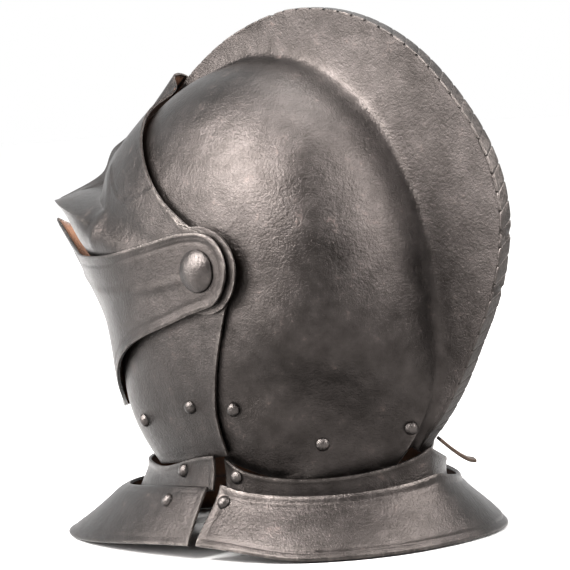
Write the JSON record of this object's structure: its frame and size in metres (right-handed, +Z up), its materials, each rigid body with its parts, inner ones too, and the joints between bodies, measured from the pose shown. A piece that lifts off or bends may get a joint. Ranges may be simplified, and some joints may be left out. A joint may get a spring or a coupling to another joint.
{
  "type": "close helmet",
  "caption": "Close helmet with a high roped comb, pivoted visor with a pointed prow, upper bevor, chin bevor and flared neck lames front and rear.",
  "frame": {"origin": "centre of the bounding box's bottom face, on the ground under the helmet", "axes": "+Z up, the face looks along -Y, the wearer's left is +X"},
  "size_m": [0.2162, 0.3701, 0.318],
  "materials": {
    "plate_steel": "dark grey-brown patinated steel plate, satin, finely pitted",
    "rivet_steel": "dark patinated steel, domed heads rubbed a little brighter",
    "rusted_tab": "dark brown rusted steel"
  },
  "bodies": {
    "skull": {"skull": "plate_steel", "rear_upper_lame": "plate_steel", "rear_lower_lame": "plate_steel", "neck_tab": "rusted_tab", "pivot_left": "rivet_steel", "pivot_right": "rivet_steel", "skull_rivet_front_left": "rivet_steel", "skull_rivet_front_right": "rivet_steel", "skull_rivet_side_left": "rivet_steel", "skull_rivet_side_right": "rivet_steel", "skull_rivet_nape_left": "rivet_steel", "skull_rivet_nape_right": "rivet_steel", "rear_upper_lame_rivet_left": "rivet_steel", "rear_upper_lame_rivet_right": "rivet_steel", "rear_lower_lame_rivet_left": "rivet_steel", "rear_lower_lame_rivet_right": "rivet_steel"},
    "bevor": {"bevor": "plate_steel", "front_upper_lame": "plate_steel", "front_lower_lame": "plate_steel", "bevor_rivet_chin": "rivet_steel", "bevor_rivet_side_left": "rivet_steel", "bevor_rivet_side_right": "rivet_steel", "bevor_rivet_cheek_left": "rivet_steel", "bevor_rivet_cheek_right": "rivet_steel", "front_upper_lame_rivet_left": "rivet_steel", "front_upper_lame_rivet_right": "rivet_steel", "front_lower_lame_rivet_left": "rivet_steel", "front_lower_lame_rivet_right": "rivet_steel"},
    "upper_bevor": {"upper_bevor": "plate_steel"},
    "visor": {"visor": "plate_steel"}
  },
  "joints": [
    {"name": "bevor_lift", "type": "hinge", "parent": "skull", "child": "bevor", "pos_m": [0, 0.03465, 0.16891], "axis": [-1, 0, 0], "range_deg": [0, 32]},
    {"name": "upper_bevor_lift", "type": "hinge", "parent": "bevor", "child": "upper_bevor", "pos_m": [0, 0.03465, 0.16891], "axis": [-1, 0, 0], "range_deg": [0, 20]},
    {"name": "visor_lift", "type": "hinge", "parent": "upper_bevor", "child": "visor", "pos_m": [0, 0.03465, 0.16891], "axis": [-1, 0, 0], "range_deg": [0, 42]}
  ]
}
